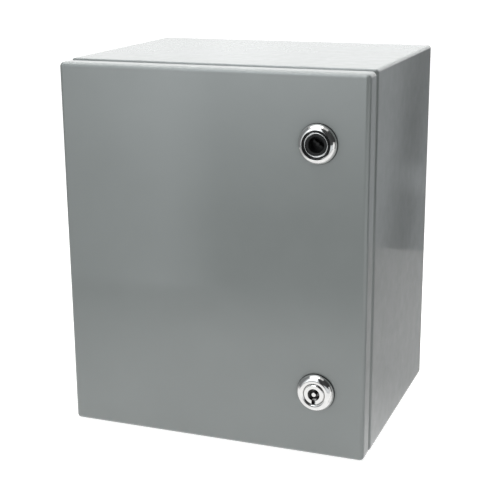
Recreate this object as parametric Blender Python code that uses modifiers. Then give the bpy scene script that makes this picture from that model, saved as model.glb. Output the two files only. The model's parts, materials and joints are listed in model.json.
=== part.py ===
"""Small sheet-steel switchboard cabinet: a full-front door on concealed hinges, with two quarter-turn locks.

Metres, +X to the right, +Y from the door to the back, +Z up. The origin is on the floor under the middle of
the cabinet. Depths are measured back from the door's front face, and heights up from the floor.
"""

from math import acos, cos, pi, radians, sin, sqrt

import bmesh
import bpy
from mathutils import Matrix, Vector

MM = 0.001

# Cabinet
WIDTH = 250 * MM
HEIGHT = 300 * MM
DEPTH = 200 * MM  # door front face to back wall
LOCK_PROUD = 6 * MM  # lock bezels in front of the door
DOOR_FRONT = -(DEPTH - LOCK_PROUD) / 2  # y of the door's front face
GAP = 0.3 * MM  # between pieces that touch
OVERSHOOT = 5 * MM  # how far a cutter starts outside what it cuts

# Body shell
BODY_SHEET = 1.2 * MM
BODY_FRONT = 20 * MM
BODY_BEND = 2.5 * MM
RETURN_WIDTH = 22 * MM
LIP_FRONT = 10.3 * MM
WALL_HOLE_RADIUS = 4.25 * MM
WALL_HOLE_INSET = 17.5 * MM
GLAND_OPENING = (150 * MM, 100 * MM)
GLAND_CENTRE_DEPTH = 117 * MM
BODY_INNER_BACK = DEPTH - BODY_SHEET

# Door
DOOR_SHEET = 1.5 * MM
DOOR_FLANGE = 15 * MM
DOOR_BEND = 3.5 * MM
DOOR_INNER = DOOR_SHEET + GAP
GASKET_WIDTH = 9 * MM
GASKET_INSET = 16.5 * MM
GASKET_BACK = 10 * MM
GASKET_CORNERS = (5 * MM, 2 * MM)  # outer and inner radius

# Hinges: the pin stands inside the door's folded edge
HINGE_X = -118 * MM
HINGE_DEPTH = 7 * MM
HINGE_HEIGHTS = {"upper": 245 * MM, "lower": 55 * MM}
KNUCKLE_RADIUS = 4 * MM
PIN_RADIUS = 2.3 * MM
PIN_BORE_RADIUS = 2.6 * MM
HINGE_PLATE = 2 * MM
BODY_KNUCKLE_HALF = 10 * MM
DOOR_KNUCKLE_LENGTH = 8 * MM
DOOR_LEAF_HALF = 30 * MM
LEAF_STUD_HEIGHT = 25 * MM
LEAF_STUD_X = -115.6 * MM
LEAF_STUD_LENGTH = 9 * MM
LEAF_EDGES = (-4 * MM, 8.9 * MM)  # from the hinge axis to the leaf's left and right edge
BRACKET_REACH = 11.5 * MM  # from the hinge axis to the end of the bracket's foot

# Locks
LOCK_X = 86.5 * MM
LOCK_HEIGHTS = {"upper": 247 * MM, "lower": 53 * MM}
BEZEL_RADIUS = 15 * MM
BEZEL_BACK = 1.1 * MM  # in front of the door, which leaves room for the seal
SHANK_RADIUS = 10 * MM
BEZEL_LIP_RADIUS = 11.3 * MM
BEZEL_RIM_HEIGHT = 1.9 * MM  # where the rounded flank ends above the door
LOCK_NUT = (24 * MM, 5 * MM)  # across flats, thickness
SHANK_END = 22 * MM
CAM_FRONT = 23 * MM
CAM_THICKNESS = 2.5 * MM
CAM_REACH = 26 * MM
CAM_WIDTH = 16 * MM
TAIL_WIDTH = 7 * MM
CAM_TIP_RADIUS = 2.5 * MM
CAM_SCREW_LENGTH = 8 * MM

# Mounting plate
PLATE_WIDTH = 200 * MM
PLATE_HEIGHT = 250 * MM
PLATE_THICKNESS = 2 * MM
PLATE_BACK = 186.5 * MM
PLATE_HOLE_INSET = 10 * MM

# Studs and screws
M4, M5, M6 = 2 * MM, 2.5 * MM, 3 * MM  # radii
HOLE_CLEARANCE = 0.4 * MM
M4_NUT = (7 * MM, 3.2 * MM)  # across flats, thickness
M6_NUT = (10 * MM, 5 * MM)
FLANGED_NUT_HEIGHT = 5.5 * MM
FLANGE_HEIGHT = 1.2 * MM
FLANGE_OVERHANG = 1.7 * MM
STUD_FOOT = 0.6 * MM  # height of a weld stud's foot, and how far it stands out
EARTH_STUD_LENGTH = 16 * MM
WASHER = (6 * MM, 3.9 * MM, 1.2 * MM)  # outer radius, inner radius, thickness

SMALL_ROUND = 16  # sides of a small round piece
LARGE_ROUND = 36  # sides of a lock piece

# Earth points
BODY_EARTH_POINT = (60 * MM, 60 * MM)  # depth and height on the left wall
DOOR_EARTH_POINT = (-75 * MM, 45 * MM)  # x and height on the door's inner face

# colour, roughness, metallic
GREY_PAINT = ((0.26, 0.285, 0.275), 0.32, 0.0)
GALVANISED = ((0.55, 0.56, 0.56), 0.42, 1.0)
ZINC_PLATE = ((0.66, 0.65, 0.62), 0.33, 1.0)
CHROME = ((0.80, 0.80, 0.79), 0.08, 1.0)
BRASS = ((0.72, 0.53, 0.24), 0.3, 1.0)
BLACK_PLASTIC = ((0.018, 0.019, 0.020), 0.42, 0.0)
BLACK_RUBBER = ((0.022, 0.022, 0.022), 0.75, 0.0)
BLACK_FOAM = ((0.03, 0.03, 0.03), 0.92, 0.0)

# How a piece's own +Z is turned
FACING = {
    "up": Matrix.Identity(4),
    "front": Matrix.Rotation(pi / 2, 4, "X"),
    "back": Matrix.Rotation(-pi / 2, 4, "X"),
    "right": Matrix.Rotation(pi / 2, 4, "Y"),
}


def point(x, depth, height):
    """A place given by its depth behind the door's front face."""
    return Vector((x, DOOR_FRONT + depth, height))


def clear_scene():
    for obj in list(bpy.data.objects):
        bpy.data.objects.remove(obj)


def new_collection(name):
    collection = bpy.data.collections.new(name)
    bpy.context.scene.collection.children.link(collection)
    return collection


def give_finish(obj, finish):
    colour, roughness, metallic = finish
    material = bpy.data.materials.new(obj.name)
    material.use_nodes = True
    shader = material.node_tree.nodes["Principled BSDF"]
    shader.inputs["Base Color"].default_value = (*colour, 1)
    shader.inputs["Roughness"].default_value = roughness
    shader.inputs["Metallic"].default_value = metallic
    obj.data.materials.append(material)


def add_object(name, mesh, place, finish):
    """A sub-part with its own finish, or a cutter where the finish is None."""
    obj = bpy.data.objects.new(name, mesh)
    obj.matrix_world = place
    if finish:
        give_finish(obj, finish)
        parts.objects.link(obj)
    else:
        obj.hide_render = True
        obj.display_type = "WIRE"
        cutters.objects.link(obj)
    return obj


def shade(mesh):
    mesh.shade_smooth()
    mesh.set_sharp_from_angle(angle=radians(35))


def box(name, low, high, finish=None):
    bm = bmesh.new()
    bmesh.ops.create_cube(bm, size=1)
    bmesh.ops.transform(bm, matrix=Matrix.Diagonal((*(high - low), 1)), verts=bm.verts)
    mesh = bpy.data.meshes.new(name)
    bm.to_mesh(mesh)
    bm.free()
    return add_object(name, mesh, Matrix.Translation((low + high) / 2), finish)


def rod(name, radius, length, start, facing, sides=SMALL_ROUND):
    """A round cutter that starts at a point and runs the way it faces."""
    bm = bmesh.new()
    bmesh.ops.create_cone(
        bm, cap_ends=True, segments=sides, radius1=radius, radius2=radius, depth=length
    )
    bmesh.ops.translate(bm, vec=(0, 0, length / 2), verts=bm.verts)
    mesh = bpy.data.meshes.new(name)
    bm.to_mesh(mesh)
    bm.free()
    shade(mesh)
    return add_object(name, mesh, Matrix.Translation(start) @ FACING[facing], None)


def turned(name, profile, start, facing, finish, ring=False, sides=SMALL_ROUND):
    """A turned piece: (radius, height) points down its outer side, closed into a loop for a ring."""
    count = len(profile)
    edges = [(i, i + 1) for i in range(count - 1)]
    if ring:
        edges.append((count - 1, 0))
    mesh = bpy.data.meshes.new(name)
    mesh.from_pydata([(radius, 0, height) for radius, height in profile], edges, [])
    obj = add_object(name, mesh, Matrix.Translation(start) @ FACING[facing], finish)
    screw = obj.modifiers.new("Turn", "SCREW")
    screw.axis = "Z"
    screw.angle = 2 * pi
    screw.steps = sides
    screw.render_steps = sides
    screw.use_merge_vertices = True
    screw.merge_threshold = 0.00001
    screw.use_smooth_shade = True
    return obj


def arc(centre, radius, first, last, steps):
    """Points round a circle, from one angle to another."""
    angles = [first + (last - first) * i / steps for i in range(steps + 1)]
    return [(centre[0] + radius * cos(a), centre[1] + radius * sin(a)) for a in angles]


def circle(centre, radius, sides=SMALL_ROUND):
    return arc(centre, radius, 0, 2 * pi * (sides - 1) / sides, sides - 1)


def hexagon(across_flats):
    """Two flats face the outline's own +X and -X."""
    return arc((0, 0), across_flats / sqrt(3), pi / 6, pi / 6 + 10 * pi / 6, 5)


def rounded_rectangle(width, height, radius, steps=4):
    outline = []
    for turn, (side, end) in enumerate(((1, 1), (-1, 1), (-1, -1), (1, -1))):
        centre = (side * (width / 2 - radius), end * (height / 2 - radius))
        outline += arc(centre, radius, turn * pi / 2, (turn + 1) * pi / 2, steps)
    return outline


def plate(name, outlines, thickness, start, facing, finish=None):
    """A flat piece: an outline with any holes in it, which grows from its start the way it faces."""
    curve = bpy.data.curves.new(name + "_outline", "CURVE")
    curve.dimensions = "2D"
    curve.fill_mode = "BOTH"
    curve.extrude = thickness / 2
    for outline in outlines:
        spline = curve.splines.new("POLY")
        spline.points.add(len(outline) - 1)
        for spot, (x, y) in zip(spline.points, outline):
            spot.co = (x, y, 0, 1)
        spline.use_cyclic_u = True
    guide = bpy.data.objects.new(name + "_outline", curve)
    cutters.objects.link(guide)
    bpy.context.view_layer.update()
    graph = bpy.context.evaluated_depsgraph_get()
    mesh = bpy.data.meshes.new_from_object(guide.evaluated_get(graph))
    bpy.data.objects.remove(guide)
    bm = bmesh.new()
    bm.from_mesh(mesh)
    bmesh.ops.remove_doubles(bm, verts=bm.verts, dist=0.00001)
    bmesh.ops.translate(bm, vec=(0, 0, thickness / 2), verts=bm.verts)
    bmesh.ops.recalc_face_normals(bm, faces=bm.faces)
    bm.to_mesh(mesh)
    bm.free()
    shade(mesh)
    return add_object(name, mesh, Matrix.Translation(start) @ FACING[facing], finish)


def combine(obj, tool, operation):
    modifier = obj.modifiers.new(tool.name, "BOOLEAN")
    modifier.operation = operation
    modifier.solver = "EXACT"
    modifier.object = tool


def cut(obj, tool):
    combine(obj, tool, "DIFFERENCE")


def join(obj, tool):
    combine(obj, tool, "UNION")


def folded_shell(name, low, high, open_side, bend, sheet, folds=()):
    """A box of bent sheet with one open side, whose rim is folded again by each move in folds."""
    centre = (low + high) / 2
    bm = bmesh.new()
    bmesh.ops.create_cube(bm, size=1)
    bmesh.ops.transform(bm, matrix=Matrix.Diagonal((*(high - low), 1)), verts=bm.verts)
    lid = [face for face in bm.faces if face.normal.dot(open_side) > 0.5]
    bmesh.ops.delete(bm, geom=lid, context="FACES_ONLY")
    for inward, along in folds:
        rim = [edge for edge in bm.edges if edge.is_boundary]
        grown = bmesh.ops.extrude_edge_only(bm, edges=rim)["geom"]
        for vert in [item for item in grown if isinstance(item, bmesh.types.BMVert)]:
            vert.co.x -= inward if vert.co.x > 0 else -inward
            vert.co.z -= inward if vert.co.z > 0 else -inward
            vert.co += open_side * along
    bmesh.ops.recalc_face_normals(bm, faces=bm.faces)
    mesh = bpy.data.meshes.new(name)
    bm.to_mesh(mesh)
    bm.free()
    obj = add_object(name, mesh, Matrix.Translation(centre), GREY_PAINT)
    bevel = obj.modifiers.new("Bends", "BEVEL")
    bevel.width = bend
    bevel.segments = 3
    bevel.limit_method = "ANGLE"
    solidify = obj.modifiers.new("Sheet", "SOLIDIFY")
    solidify.thickness = sheet
    solidify.offset = -1
    solidify.use_even_offset = True
    return obj


def build_body():
    low = point(-WIDTH / 2, BODY_FRONT, 0)
    high = point(WIDTH / 2, DEPTH, HEIGHT)
    folds = ((RETURN_WIDTH, 0), (0, BODY_FRONT - LIP_FRONT))
    body = folded_shell(
        "enclosure_body", low, high, Vector((0, -1, 0)), BODY_BEND, BODY_SHEET, folds
    )
    half = Vector((GLAND_OPENING[0] / 2, GLAND_OPENING[1] / 2, OVERSHOOT))
    middle = point(0, GLAND_CENTRE_DEPTH, 0)
    cut(body, box("gland_opening_cutter", middle - half, middle + half))
    for place, (x, height) in corners(WIDTH, HEIGHT, WALL_HOLE_INSET).items():
        start = point(x, DEPTH - OVERSHOOT, height)
        cut(body, rod("wall_hole_cutter_" + place, WALL_HOLE_RADIUS, 2 * OVERSHOOT, start, "back"))
    return body


def corners(width, height, inset):
    """The four corners of an upright rectangle centred on the cabinet, each moved in by the inset."""
    x = width / 2 - inset
    rise = height / 2 - inset
    middle = HEIGHT / 2
    return {
        "upper_left": (-x, middle + rise),
        "upper_right": (x, middle + rise),
        "lower_left": (-x, middle - rise),
        "lower_right": (x, middle - rise),
    }


def build_wall_hole_plugs():
    """Push-in plugs: a chamfered head inside the back wall, and a stem that fills the hole."""
    stem = WALL_HOLE_RADIUS - GAP
    inner_face = BODY_INNER_BACK - GAP
    head_radius = 6.5 * MM
    head_top_radius = 4 * MM
    head_height = 3 * MM
    head_edge = 1.2 * MM
    profile = [
        (0, head_height),
        (head_top_radius, head_height),
        (head_radius, head_edge),
        (head_radius, 0),
        (stem, 0),
        (stem, -BODY_SHEET),
        (0, -BODY_SHEET),
    ]
    for place, (x, height) in corners(WIDTH, HEIGHT, WALL_HOLE_INSET).items():
        start = point(x, inner_face, height)
        turned("wall_hole_plug_" + place, profile, start, "front", BLACK_PLASTIC)


def build_mounting_plate():
    """A flat plate in a three by three grid, so that each corner hole lies in a cell of its own."""
    bm = bmesh.new()
    bmesh.ops.create_grid(bm, x_segments=3, y_segments=3, size=0.5)
    bmesh.ops.transform(
        bm, matrix=Matrix.Diagonal((PLATE_WIDTH, PLATE_HEIGHT, 1, 1)), verts=bm.verts
    )
    mesh = bpy.data.meshes.new("mounting_plate")
    bm.to_mesh(mesh)
    bm.free()
    front = point(0, PLATE_BACK - PLATE_THICKNESS, HEIGHT / 2)
    obj = add_object("mounting_plate", mesh, Matrix.Translation(front) @ FACING["front"], GALVANISED)
    solidify = obj.modifiers.new("Sheet", "SOLIDIFY")
    solidify.thickness = PLATE_THICKNESS
    solidify.offset = -1
    for place, (x, height) in corners(PLATE_WIDTH, PLATE_HEIGHT, PLATE_HOLE_INSET).items():
        start = point(x, PLATE_BACK - 2 * OVERSHOOT, height)
        cutter = rod("plate_hole_cutter_" + place, M6 + HOLE_CLEARANCE, 4 * OVERSHOOT, start, "back")
        cut(obj, cutter)
        build_plate_stud(place, x, height)


def build_plate_stud(place, x, height):
    """A shouldered stud welded to the back wall, with a flanged nut that holds the plate."""
    collar = BODY_INNER_BACK - PLATE_BACK - 2 * GAP
    collar_radius = 2 * M6
    tip = collar + 12 * MM
    chamfer = 0.5 * MM
    stud = [
        (0, tip),
        (M6 - chamfer, tip),
        (M6, tip - chamfer),
        (M6, collar),
        (collar_radius, collar),
        (collar_radius, 0),
        (0, 0),
    ]
    start = point(x, BODY_INNER_BACK - GAP, height)
    turned("mounting_plate_stud_" + place, stud, start, "front", ZINC_PLATE)
    start = point(x, PLATE_BACK - PLATE_THICKNESS - GAP, height)
    flanged_nut("mounting_plate_nut_" + place, start, "front")


def flanged_nut(name, start, facing):
    """An M6 nut whose foot widens into a washer."""
    across_flats = M6_NUT[0]
    bore = M6 + HOLE_CLEARANCE
    outlines = [hexagon(across_flats), circle((0, 0), bore)]
    nut = plate(name, outlines, FLANGED_NUT_HEIGHT, start, facing, ZINC_PLATE)
    outer = across_flats / 2 + FLANGE_OVERHANG
    inner = bore + GAP
    washer = [
        (inner, FLANGE_HEIGHT),
        (outer - FLANGE_HEIGHT / 2, FLANGE_HEIGHT),
        (outer, FLANGE_HEIGHT / 2),
        (outer, 0),
        (inner, 0),
    ]
    join(nut, turned(name + "_flange", washer, start, facing, None, ring=True))


def plain_nut(name, thread, size, start, facing, finish=ZINC_PLATE):
    """A hexagon nut of a size given as its across flats and its thickness."""
    across_flats, thickness = size
    outlines = [hexagon(across_flats), circle((0, 0), thread + HOLE_CLEARANCE)]
    return plate(name, outlines, thickness, start, facing, finish)


def weld_stud(name, thread, length, start, facing, finish=ZINC_PLATE):
    """A threaded stud with a thin welded foot and a chamfered tip."""
    chamfer = 0.4 * MM
    profile = [
        (0, length),
        (thread - chamfer, length),
        (thread, length - chamfer),
        (thread, STUD_FOOT),
        (thread + STUD_FOOT, STUD_FOOT),
        (thread + STUD_FOOT, 0),
        (0, 0),
    ]
    return turned(name, profile, start, facing, finish)


def build_gland_plate():
    """A cover plate over the cable opening in the floor, on a foam gasket, held by four screws."""
    border = 15 * MM
    plate_thickness = 1.5 * MM
    size = (GLAND_OPENING[0] + 2 * border, GLAND_OPENING[1] + 2 * border)
    hole_x = size[0] / 2 - border / 2
    hole_y = size[1] / 2 - border / 2
    places = {
        "front_left": (-hole_x, -hole_y),
        "front_right": (hole_x, -hole_y),
        "back_left": (-hole_x, hole_y),
        "back_right": (hole_x, hole_y),
    }
    holes = [circle(spot, M4 + HOLE_CLEARANCE) for spot in places.values()]
    outer = rounded_rectangle(*size, 4 * MM)
    inner = rounded_rectangle(*GLAND_OPENING, 2 * MM)
    gasket_thickness = 2 * MM
    gasket_floor = BODY_SHEET + GAP
    plate_floor = gasket_floor + gasket_thickness + GAP
    plate_top = plate_floor + plate_thickness
    centre = point(0, GLAND_CENTRE_DEPTH, 0)
    rise = Vector((0, 0, 1))
    plate(
        "gland_plate_gasket",
        [outer, inner] + holes,
        gasket_thickness,
        centre + rise * gasket_floor,
        "up",
        BLACK_FOAM,
    )
    start = centre + rise * plate_floor
    plate("gland_plate", [outer] + holes, plate_thickness, start, "up", GALVANISED)
    body = parts.objects["enclosure_body"]
    for place, (x, y) in places.items():
        spot = centre + Vector((x, y, 0))
        start = spot - rise * OVERSHOOT
        hole = M4 + HOLE_CLEARANCE
        cut(body, rod("gland_hole_cutter_" + place, hole, 2 * OVERSHOOT, start, "up"))
        head = spot + rise * (plate_top + GAP)
        pan_screw("gland_plate_screw_" + place, M4, head.z - GAP, head, "up")


def pan_screw(name, thread, length, start, facing):
    """A pan-head screw with a hexagon socket: its head sits at the start and its shank runs backwards."""
    head_radius = thread * 1.9
    head_height = thread * 1.25
    crown_radius = head_radius * 0.62
    shoulder = (head_radius * 0.93, head_height * 0.62)
    chamfer = 0.3 * MM
    socket = thread * 1.25
    socket_floor = head_height * 0.45
    profile = [
        (0, head_height),
        (crown_radius, head_height),
        shoulder,
        (head_radius, chamfer),
        (head_radius, 0),
        (thread, 0),
        (thread, -length + chamfer),
        (thread - chamfer, -length),
        (0, -length),
    ]
    screw = turned(name, profile, start, facing, ZINC_PLATE)
    floor = start + FACING[facing].to_3x3() @ Vector((0, 0, socket_floor))
    cut(screw, plate(name + "_socket", [hexagon(socket)], head_height, floor, facing))
    return screw


def build_earth_point(name, start, facing):
    """An M6 earthing stud with its washer and brass nut."""
    direction = FACING[facing].to_3x3() @ Vector((0, 0, 1))
    weld_stud(name + "_earth_stud", M6, EARTH_STUD_LENGTH, start, facing, BRASS)
    outer, inner, thickness = WASHER
    washer_start = start + direction * (STUD_FOOT + GAP)
    outlines = [circle((0, 0), outer), circle((0, 0), inner)]
    plate(name + "_earth_washer", outlines, thickness, washer_start, facing, BRASS)
    nut_start = washer_start + direction * (thickness + GAP)
    plain_nut(name + "_earth_nut", M6, M6_NUT, nut_start, facing, BRASS)


def build_door():
    low = point(-WIDTH / 2, 0, 0)
    high = point(WIDTH / 2, DOOR_FLANGE, HEIGHT)
    door = folded_shell("door_panel", low, high, Vector((0, 1, 0)), DOOR_BEND, DOOR_SHEET)
    for place, height in LOCK_HEIGHTS.items():
        start = point(LOCK_X, -OVERSHOOT, height)
        hole = SHANK_RADIUS + GAP
        cut(door, rod(place + "_lock_hole_cutter", hole, 2 * OVERSHOOT, start, "back", LARGE_ROUND))
    notch = BODY_KNUCKLE_HALF + 2 * MM
    notch_front = 2.5 * MM
    for place, height in HINGE_HEIGHTS.items():
        low = point(-WIDTH / 2 - OVERSHOOT, notch_front, height - notch)
        high = point(-WIDTH / 2 + DOOR_SHEET + GAP, DOOR_FLANGE + OVERSHOOT, height + notch)
        cut(door, box(place + "_hinge_notch_cutter", low, high))


def build_door_gasket():
    width = WIDTH - 2 * GASKET_INSET
    height = HEIGHT - 2 * GASKET_INSET
    inner_width = width - 2 * GASKET_WIDTH
    inner_height = height - 2 * GASKET_WIDTH
    outer = rounded_rectangle(width, height, GASKET_CORNERS[0], 5)
    inner = rounded_rectangle(inner_width, inner_height, GASKET_CORNERS[1], 5)
    start = point(0, GASKET_BACK, HEIGHT / 2)
    plate("door_gasket", [outer, inner], GASKET_BACK - DOOR_INNER, start, "front", BLACK_FOAM)


def build_hinge(place, height):
    build_hinge_bracket(place, height)
    build_hinge_leaf(place, height)
    build_hinge_pin(place, height)
    for end, side in (("top", 1), ("bottom", -1)):
        spot = height + side * LEAF_STUD_HEIGHT
        start = point(LEAF_STUD_X, DOOR_INNER, spot)
        weld_stud(f"{place}_hinge_stud_{end}", M4, LEAF_STUD_LENGTH, start, "back")
        start = point(LEAF_STUD_X, DOOR_INNER + HINGE_PLATE + GAP, spot)
        plain_nut(f"{place}_hinge_nut_{end}", M4, M4_NUT, start, "back")


def build_hinge_bracket(place, height):
    """The body's knuckle, on an arm that runs back to a foot on the shell's front return."""
    foot_back = BODY_FRONT - GAP - HINGE_DEPTH
    foot_front = foot_back - HINGE_PLATE
    end_angle = 2 * pi + acos(HINGE_PLATE / KNUCKLE_RADIUS)
    outline = [(0, foot_back)]
    outline += arc((0, 0), KNUCKLE_RADIUS, pi / 2, end_angle, 20)
    outline += [(HINGE_PLATE, foot_front), (BRACKET_REACH, foot_front), (BRACKET_REACH, foot_back)]
    start = point(HINGE_X, HINGE_DEPTH, height - BODY_KNUCKLE_HALF)
    bore = circle((0, 0), PIN_BORE_RADIUS)
    plate(f"{place}_hinge_bracket", [outline, bore], 2 * BODY_KNUCKLE_HALF, start, "up", GREY_PAINT)


def build_hinge_leaf(place, height):
    """The door's leaf: a plate on the door's inner face with a knuckle above and below the body's."""
    plate_back = DOOR_INNER + HINGE_PLATE
    low = point(HINGE_X + LEAF_EDGES[0], DOOR_INNER, height - DOOR_LEAF_HALF)
    high = point(HINGE_X + LEAF_EDGES[1], plate_back, height + DOOR_LEAF_HALF)
    leaf = box(f"{place}_hinge_leaf", low, high, ZINC_PLATE)
    root = plate_back - HINGE_DEPTH - HINGE_PLATE / 4
    saddle = [(-KNUCKLE_RADIUS, root), (KNUCKLE_RADIUS, root)]
    saddle += arc((0, 0), KNUCKLE_RADIUS, 0, pi, 12)
    body_zone = BODY_KNUCKLE_HALF + GAP
    for end, bottom in (("top", body_zone), ("bottom", -body_zone - DOOR_KNUCKLE_LENGTH)):
        start = point(HINGE_X, HINGE_DEPTH, height + bottom)
        name = f"{place}_hinge_knuckle_{end}"
        join(leaf, plate(name, [saddle], DOOR_KNUCKLE_LENGTH, start, "up"))
    low = point(HINGE_X + LEAF_EDGES[0] - OVERSHOOT, 0, height - body_zone)
    high = point(HINGE_X + KNUCKLE_RADIUS + 0.8 * MM, HINGE_DEPTH, height + body_zone)
    cut(leaf, box(f"{place}_hinge_knuckle_gap_cutter", low, high))
    bore_half = DOOR_LEAF_HALF + OVERSHOOT
    start = point(HINGE_X, HINGE_DEPTH, height - bore_half)
    cut(leaf, rod(f"{place}_hinge_bore_cutter", PIN_BORE_RADIUS, 2 * bore_half, start, "up"))
    for end, side in (("top", 1), ("bottom", -1)):
        start = point(LEAF_STUD_X, -OVERSHOOT, height + side * LEAF_STUD_HEIGHT)
        hole = M4 + STUD_FOOT + GAP
        cut(leaf, rod(f"{place}_hinge_stud_cutter_{end}", hole, 4 * OVERSHOOT, start, "back"))


def build_hinge_pin(place, height):
    stack = BODY_KNUCKLE_HALF + GAP + DOOR_KNUCKLE_LENGTH
    head_radius = HINGE_DEPTH - DOOR_INNER - HINGE_PLATE - GAP
    head_height = 1.5 * MM
    tip = 2 * stack + 1.6 * MM
    chamfer = 0.5 * MM
    profile = [
        (0, head_height),
        (head_radius - chamfer, head_height),
        (head_radius, head_height - chamfer),
        (head_radius, 0),
        (PIN_RADIUS, 0),
        (PIN_RADIUS, -tip + chamfer),
        (PIN_RADIUS - chamfer, -tip),
        (0, -tip),
    ]
    start = point(HINGE_X, HINGE_DEPTH, height + stack + GAP)
    turned(f"{place}_hinge_pin", profile, start, "up", ZINC_PLATE)


def bezel_flank():
    """The bezel's flank from its front lip to its rim: partly a quarter round, partly a straight cone."""
    steps = 4
    roundness = 0.55
    flank = []
    for i in range(steps + 1):
        turn = pi / 2 * i / steps
        straight = (1 - roundness) * i / steps
        out = straight + roundness * sin(turn)
        drop = straight + roundness * (1 - cos(turn))
        radius = BEZEL_LIP_RADIUS + (BEZEL_RADIUS - BEZEL_LIP_RADIUS) * out
        flank.append((radius, LOCK_PROUD - (LOCK_PROUD - BEZEL_RIM_HEIGHT) * drop))
    return flank


def build_lock_mount(place, height, bore):
    """The fixed pieces of a lock: its housing, the seal under its bezel and the nut behind the door."""
    shank = [
        (BEZEL_RADIUS, BEZEL_BACK),
        (SHANK_RADIUS, BEZEL_BACK),
        (SHANK_RADIUS, -SHANK_END),
    ]
    start = point(LOCK_X, 0, height)
    profile = bezel_flank() + shank + bore
    name = f"{place}_lock_housing"
    turned(name, profile, start, "front", CHROME, ring=True, sides=LARGE_ROUND)
    outer = circle((0, 0), BEZEL_RADIUS + GAP, LARGE_ROUND)
    inner = circle((0, 0), SHANK_RADIUS + GAP, LARGE_ROUND)
    seal_thickness = BEZEL_BACK - 2 * GAP
    seal_start = point(LOCK_X, -GAP, height)
    plate(f"{place}_lock_seal", [outer, inner], seal_thickness, seal_start, "front", BLACK_RUBBER)
    nut_start = point(LOCK_X, DOOR_INNER, height)
    across_flats, thickness = LOCK_NUT
    plate(f"{place}_lock_nut", [hexagon(across_flats), inner], thickness, nut_start, "back", ZINC_PLATE)


def build_lock_cam(place, height):
    """The cam hangs down while the lock is released, and is screwed on the barrel's square tail."""
    half = CAM_WIDTH / 2
    tip = CAM_TIP_RADIUS
    outline = arc((0, 0), half, 0, pi, 12)
    outline += arc((-half + tip, -CAM_REACH + tip), tip, pi, 1.5 * pi, 3)
    outline += arc((half - tip, -CAM_REACH + tip), tip, 1.5 * pi, 2 * pi, 3)
    side = TAIL_WIDTH / 2 + GAP
    square = [(side, side), (-side, side), (-side, -side), (side, -side)]
    start = point(LOCK_X, CAM_FRONT + CAM_THICKNESS, height)
    plate(f"{place}_lock_cam", [outline, square], CAM_THICKNESS, start, "front", ZINC_PLATE)
    head = point(LOCK_X, CAM_FRONT + CAM_THICKNESS + GAP, height)
    pan_screw(f"{place}_lock_cam_screw", M5, CAM_SCREW_LENGTH, head, "back")


def add_barrel_tail(barrel, place, height):
    """A square tail behind the barrel for the cam, and the screw's hole down its middle."""
    tail_end = CAM_FRONT + CAM_THICKNESS - GAP
    half = Vector((TAIL_WIDTH / 2, 0, TAIL_WIDTH / 2))
    low = point(LOCK_X, CAM_FRONT - 2 * MM, height) - half
    high = point(LOCK_X, tail_end, height) + half
    join(barrel, box(f"{place}_lock_tail", low, high))
    start = point(LOCK_X, tail_end + OVERSHOOT, height)
    depth = CAM_SCREW_LENGTH + 2 * MM + OVERSHOOT
    cut(barrel, rod(f"{place}_lock_screw_hole_cutter", M5 + GAP, depth, start, "front"))


def build_upper_lock(height):
    """Double-bit lock: a bright barrel rim round a black drive, in a black dust ring inside the bezel."""
    bore = 8.3 * MM
    well_radius = 10.9 * MM
    well_floor = 2.2 * MM
    housing_bore = [
        (bore, -SHANK_END),
        (bore, well_floor),
        (well_radius, well_floor),
        (well_radius, LOCK_PROUD),
    ]
    build_lock_mount("upper", height, housing_bore)
    start = point(LOCK_X, 0, height)
    head_radius = 9 * MM
    build_dust_ring(start, head_radius + GAP, well_radius - GAP, well_floor + GAP)

    rim_height = 5.3 * MM
    rim_inner = 8.4 * MM
    head_foot = well_floor + GAP
    step = head_foot + 0.9 * MM
    shank_inner = 7.3 * MM
    cup_floor = -10 * MM
    barrel_radius = bore - GAP
    chamfer = 0.2 * MM
    profile = [
        (0, cup_floor),
        (shank_inner, cup_floor),
        (shank_inner, step),
        (rim_inner, step),
        (rim_inner, rim_height - chamfer),
        (rim_inner + chamfer, rim_height),
        (head_radius - chamfer, rim_height),
        (head_radius, rim_height - chamfer),
        (head_radius, head_foot),
        (barrel_radius, head_foot),
        (barrel_radius, -CAM_FRONT + GAP),
        (0, -CAM_FRONT + GAP),
    ]
    barrel = turned("upper_lock_barrel", profile, start, "front", CHROME, sides=LARGE_ROUND)
    add_barrel_tail(barrel, "upper", height)
    build_drive_insert(start, rim_inner - GAP, shank_inner - GAP, step + GAP, cup_floor + GAP)
    build_lock_cam("upper", height)


def build_dust_ring(start, inner, outer, floor):
    """The black ring round the upper barrel's head, whose face slopes down to the barrel."""
    outer_height = 5.5 * MM
    inner_height = 4.6 * MM
    profile = [(outer, outer_height), (outer, floor), (inner, floor), (inner, inner_height)]
    turned("upper_lock_sleeve", profile, start, "front", BLACK_PLASTIC, ring=True, sides=LARGE_ROUND)


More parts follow.
